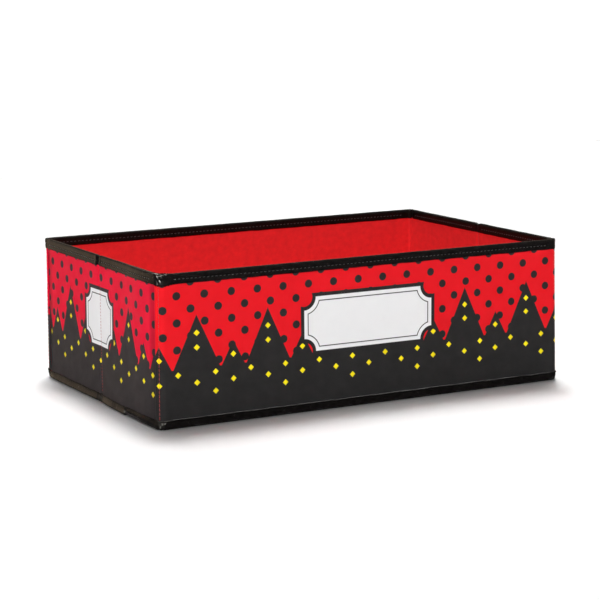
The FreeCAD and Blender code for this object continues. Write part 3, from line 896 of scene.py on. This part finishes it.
# corner seams: red thread a few millimetres round the corner, on the end faces
for wall, side in LONG.items():
    for end, way in ENDS.items():
        zz = np.arange(7.8, 116.4, 3.6) + 1.5
        spots = [long_point(wall, way, SEAM, THK - 0.16, h) for h in zz]
        ob = stitches(f"{wall}_{end}_corner_stitches", [p for p, o in spots], [(0, 0, 1)] * len(zz), [o for p, o in spots], 3.2,
                      0.42, 0.36, RED_THREAD, 330 + side + 2 * way, 0.03)
        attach(ob, f"{wall}_wall")
        done(ob, "thread")
        # the seam allowance turned into the corner
        hs, hz = np.linspace(2.6, 13.4, 16), np.linspace(1.0, 125.8, 24)
        wob = lambda a, h: 0.10 * math.sin(0.31 * h + 1.7 * a)
        P = np.array([[long_point(wall, way, a, 2.0 + wob(a, h) * 0.6, h)[0] for h in hz] for a in hs])
        Q = np.array([[long_point(wall, way, a * 0.86 + 0.3, 0.62 + wob(a, h) * 0.6, h)[0] for h in hz] for a in hs])
        uvs = np.array([[(a, h) for h in hz] for a in hs])
        sb = slab(f"{wall}_{end}_seam_allowance", P, Q, uvs, LINING)
        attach(sb, f"{wall}_wall")
        done(sb, "lining_cloth", f"{wall}_{end}_seam")

# end creases: a fine row beside the fold
for end, way in ENDS.items():
    zz = np.arange(9.4, 117.0, 2.7) + 1.1
    at = [(way * (XI + THK - 0.17 + float(end_bulge(way, np.array(-1.95), np.array(h)))), -1.95, h) for h in zz]
    ob = stitches(f"{end}_crease_stitches", at, [(0, 0, 1)] * len(zz), [(way, 0, 0)] * len(zz), 1.9, 0.36, 0.28, RED_THREAD,
                  350 + way, 0.04)
    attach(ob, f"{end}_front_panel")
    done(ob, "thread")


# -------------------------------------------------------------------------------------------------------------- floor
def floor_half_len(y):
    return XI - (YH - np.abs(y)) - 4.5


ys = graded(-YH + 0.3, YH - 0.3, [-YH, 0.0, YH], 0.25, 4.0, 2.0)
ts = np.concatenate([[-1.0, -0.9985, -0.996, -0.992], np.linspace(-0.98, 0.98, 61), [0.992, 0.996, 0.9985, 1.0]])
hl = floor_half_len(ys)[:, None]
X = hl * ts[None, :]
Y = np.broadcast_to(ys[:, None], X.shape)
edge_x = (hl - np.abs(X)) * 0.7071
edge_y = (YH - 0.3) - np.abs(Y)
rim_d = np.minimum(edge_x, edge_y)
drop = 1.0 - np.sqrt(np.clip(1 - (1 - np.clip(rim_d / 1.1, 0, 1)) ** 2, 0, 1))
top = FLOOR_TOP - 1.5 * drop - 1.25 * gauss(Y, 1.1) + 0.10 * noise2(X, Y, 71, 70.0, 2) * np.clip(rim_d / 8.0, 0, 1)
P = np.stack([X, Y, top], -1)
Q = np.stack([X * 0.9985, Y, np.minimum(top - 0.3, 2.9)], -1)
Q[:, :, 2] = np.minimum(Q[:, :, 2], 3.02)
ob = slab("floor_top_cloth", P, Q, np.stack([X, Y], -1), LINING)
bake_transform(ob)
done(ob, "lining_cloth", "front_floor_top_cloth", "rear_floor_top_cloth", "floor_crease_cloth")

for wall, side in LONG.items():
    y = side * np.linspace(0.7, YH - 0.35, 30)
    hl2 = floor_half_len(y)[:, None]
    t = np.linspace(-1, 1, 41)
    X = hl2 * t[None, :]
    Y = np.broadcast_to(y[:, None], X.shape)
    d = np.minimum((hl2 - np.abs(X)) * 0.7071, np.minimum(YH - 0.3 - np.abs(Y), np.abs(Y) - 0.6))
    low = FLOOR_LOW + 0.06 * noise2(X, Y, 81 + side, 60.0, 2) * np.clip(d / 8.0, 0, 1) + 0.35 * (1 - np.clip(d / 1.0, 0, 1)) ** 2
    P = np.stack([X, Y, low], -1)
    Q = np.stack([X, Y, np.full_like(low, 1.62)], -1)
    ob = slab(f"{wall}_floor_underside", P, Q, np.stack([X, Y], -1), LINING)
    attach(ob, f"{wall}_floor_half")
    done(ob, "lining_cloth", f"{wall}_floor_under_cloth")

    # the hem that joins the floor to the wall: it turns from the lining into the floor's fold line
    prof = [(0.02, 5.2), (0.06, 3.6), (0.10, 2.2), (0.34, 1.2), (0.95, 0.72), (1.9, 0.60), (2.9, 0.60), (3.76, 0.64),
            (3.93, 0.46), (3.76, 0.28), (2.9, 0.22), (1.7, 0.22), (0.5, 0.26), (-0.02, 0.90), (-0.03, 2.2), (-0.03, 5.0)]
    xs = np.linspace(-(XI - 0.2), XI - 0.2, 94)
    P = np.array([[(x, side * (YI - a), h + (0.05 * math.sin(x * 0.11 + a) if h > 0.5 else 0.0)) for a, h in prof] for x in xs])
    UV = np.array([[(x, 0.6 * i) for i in range(len(prof))] for x in xs])
    ob = tube(f"{wall}_floor_hem", P, UV, LINING)
    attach(ob, f"{wall}_wall")
    done(ob, "lining_cloth", f"{wall}_floor_seam")

# corner cloth between the floor and the end walls
for end, way in ENDS.items():
    for wall, side in LONG.items():
        v = np.linspace(0.0, 1.0, 40)
        y = 0.02 + (YH - 0.17) * v
        reach = (YH - y) + 7.0
        t = np.linspace(0, 1, 34)
        a = reach[:, None] * t[None, :]
        Y = np.broadcast_to(y[:, None], a.shape)
        wave = 0.22 * noise2(a, Y, 91 + side + 3 * way, 42.0, 2) + 0.16 * np.sin(2 * np.pi * (a - 0.4 * Y) / 31.0)
        fade = np.clip(a / 6.0, 0, 1) * np.clip((reach[:, None] - a) / 10.0, 0, 1)
        top = 0.62 + (0.30 + wave) * fade * 0.6
        P = np.stack([way * (XI - a), side * Y, top], -1)
        Q = np.stack([way * (XI - a), side * Y, top - 0.34], -1)
        ob = slab(f"{end}_{wall}_corner_cloth", P, Q, np.stack([a, Y], -1), LINING)
        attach(ob, f"{end}_{wall}_panel")
        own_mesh(ob)
        done(ob, "lining_cloth", f"{end}_{wall}_gusset")


# -------------------------------------------------------------------------------------------------------------- stage
def stage_material():
    g = Graph("pale_floor")
    tc = g.node("ShaderNodeTexCoord")
    n = g.noise(tc.outputs["Object"], 3.0, 2.0, 0.5)
    col = g.mix(g.span(n, 0.0, 1.0), (0.91, 0.91, 0.91, 1), (0.93, 0.93, 0.93, 1))
    g.set(Base_Color=col)
    g.bsdf.inputs["Roughness"].default_value = 0.9
    g.bsdf.inputs["Specular IOR Level"].default_value = 0.0
    return g.mat


bm = bmesh.new()
bmesh.ops.create_grid(bm, x_segments=8, y_segments=8, size=1.7)
me = bpy.data.meshes.new("studio_floor")
bm.to_mesh(me)
bm.free()
me.materials.append(stage_material())
floor = bpy.data.objects.new("studio_floor", me)
scene.collection.objects.link(floor)
floor.location = (0, 0, -0.0002)
floor.visible_glossy = False


def area_light(name, loc, target, size, power, size_y=None, colour=(1, 1, 1)):
    data = bpy.data.lights.new(name, "AREA")
    data.energy = power
    data.color = colour
    data.shape = "RECTANGLE" if size_y else "SQUARE"
    data.size = size
    if size_y:
        data.size_y = size_y
    ob = bpy.data.objects.new(name, data)
    ob.location = loc
    ob.rotation_mode = "QUATERNION"
    ob.rotation_quaternion = (Vector(target) - Vector(loc)).to_track_quat("-Z", "Y")
    scene.collection.objects.link(ob)
    return ob


def sun_light(name, towards, degrees, energy, colour=(1, 1, 1)):
    data = bpy.data.lights.new(name, "SUN")
    data.energy, data.angle, data.color = energy, math.radians(degrees), colour
    ob = bpy.data.objects.new(name, data)
    ob.rotation_mode = "QUATERNION"
    ob.rotation_quaternion = (-Vector(towards)).to_track_quat("-Z", "Y")
    scene.collection.objects.link(ob)
    return ob


def lit_only(name, objects, state, *lamps):
    """Lamps that light only some objects, or all but some."""
    coll = bpy.data.collections.new(name)
    for ob in objects:
        coll.objects.link(ob)
    for member in coll.collection_objects:
        member.light_linking.link_state = state
    for lamp in lamps:
        lamp.light_linking.receiver_collection = coll


# wide soft light from above, a little of it from the front; two soft boxes that leave the floor out; small lamps for the
# gloss of the tape
sun_light("overhead_a", (0.18, 0.52, 1.0), 20.0, 1.37)
sun_light("overhead_b", (0.18, 0.30, 1.0), 16.0, 1.47)
front_light = sun_light("overhead_front", (-0.04, -0.75, 1.0), 26.0, 0.95)
floor_light = sun_light("overhead_floor", (0.035, 0.09, 1.0), 24.0, 0.767)
key = area_light("key", (-2.05, -1.60, 1.6), (0, 0, 0.06), 1.5, 57.0)
fill = area_light("fill", (2.55, -0.45, 1.25), (0.1, 0, 0.06), 1.4, 10.0)
lit_only("floor_left_out", [floor], "EXCLUDE", key, fill, front_light)
lit_only("floor_only", [floor], "INCLUDE", floor_light)
COOL = (0.78, 0.87, 1.0)
gloss_b = sun_light("gloss_b", (0.47, -0.17, 0.866), 14.0, 1.4, COOL)
gloss_c = sun_light("gloss_c", (-0.80, -0.53, 0.25), 12.0, 3.3, COOL)
gloss_d = sun_light("gloss_d", (-0.252, -0.917, 0.310), 11.0, 3.2, COOL)
near = {ob.name: ob for ob in made if ob.name.endswith("_tape") and ob.name.startswith(("front", "left"))}
lit_only("glossy_corner", [ob for n, ob in near.items() if n != "front_foot_tape"], "INCLUDE", gloss_c)
lit_only("glossy_front", [ob for n, ob in near.items() if n.startswith("front")], "INCLUDE", gloss_d)
lit_only("glossy_foot", [ob for ob in made if ob.name.endswith("foot_tape")], "INCLUDE", gloss_b)

world = bpy.data.worlds.new("studio")
scene.world = world
world.use_nodes = True
wt = world.node_tree
bg = wt.nodes["Background"]


def wnode(kind, **kw):
    n = wt.nodes.new(kind)
    for k, v in kw.items():
        setattr(n, k, v)
    return n


def wramp(socket, lo, hi, stops):
    """Colours along one direction of the sky."""
    mr = wnode("ShaderNodeMapRange")
    wt.links.new(socket, mr.inputs[0])
    mr.inputs[1].default_value, mr.inputs[2].default_value = lo, hi
    rp = wnode("ShaderNodeValToRGB")
    rp.color_ramp.interpolation = "EASE"
    while len(rp.color_ramp.elements) < len(stops):
        rp.color_ramp.elements.new(0.5)
    for e, (p, c) in zip(rp.color_ramp.elements, stops):
        e.position, e.color = p, c + (1,)
    wt.links.new(mr.outputs[0], rp.inputs[0])
    return rp.outputs[0]


def wmix(fac, a, b):
    n = wnode("ShaderNodeMix", data_type="RGBA")
    wt.links.new(fac, n.inputs[0])
    for s, v in ((n.inputs[6], a), (n.inputs[7], b)):
        if isinstance(v, tuple):
            s.default_value = v
        else:
            wt.links.new(v, s)
    return n.outputs[2]


tc = wnode("ShaderNodeTexCoord")
sep = wnode("ShaderNodeSeparateXYZ")
wt.links.new(tc.outputs["Generated"], sep.inputs[0])
dot = wnode("ShaderNodeVectorMath", operation="DOT_PRODUCT")
wt.links.new(tc.outputs["Generated"], dot.inputs[0])
dot.inputs[1].default_value = (0.55, 0.835, 0.0)
behind = wramp(sep.outputs[2], -1.0, 1.0, [(0.36, (0.04, 0.04, 0.04)), (0.40, (0.50, 0.385, 0.27)), (0.53, (0.50, 0.395, 0.29)), (0.60, (0.10, 0.09, 0.08))])
before = wramp(sep.outputs[2], -1.0, 1.0, [(0.30, (0.03, 0.03, 0.03)), (0.60, (0.06, 0.06, 0.06)), (1.0, (0.12, 0.12, 0.12))])
side_of = wramp(dot.outputs["Value"], -1.0, 1.0, [(0.61, (0.0, 0.0, 0.0)), (0.77, (1.0, 1.0, 1.0))])
sky = wmix(side_of, before, behind)
lp = wnode("ShaderNodeLightPath")
wt.links.new(wmix(lp.outputs["Is Camera Ray"], sky, (1.15, 1.15, 1.15, 1)), bg.inputs[0])
bg.inputs[1].default_value = 1.0

cam = bpy.data.cameras.new("camera")
cam.sensor_width = 36.0
cam.lens = 36.0 * 2042.9 / 600.0
cam_ob = bpy.data.objects.new("camera", cam)
scene.collection.objects.link(cam_ob)
az, el, roll = (math.radians(a) for a in (-28.42, 9.80, -0.47))
back = Vector((math.sin(az) * math.cos(el), -math.cos(az) * math.cos(el), math.sin(el)))
right = Vector((0, 0, 1)).cross(back).normalized()
up = back.cross(right)
r0 = right * math.cos(roll) + up * math.sin(roll)
r1 = -right * math.sin(roll) + up * math.cos(roll)
loc = r0 * (0.003 * 0.127) + r1 * (0.552 * 0.127) + back * (14.51 * 0.127)
m = Matrix((r0, r1, back)).transposed().to_4x4()
m.translation = loc
cam_ob.matrix_world = m
cam.clip_start, cam.clip_end = 0.01, 100.0
scene.camera = cam_ob
scene.view_settings.view_transform = "Standard"
scene.view_settings.look = "None"
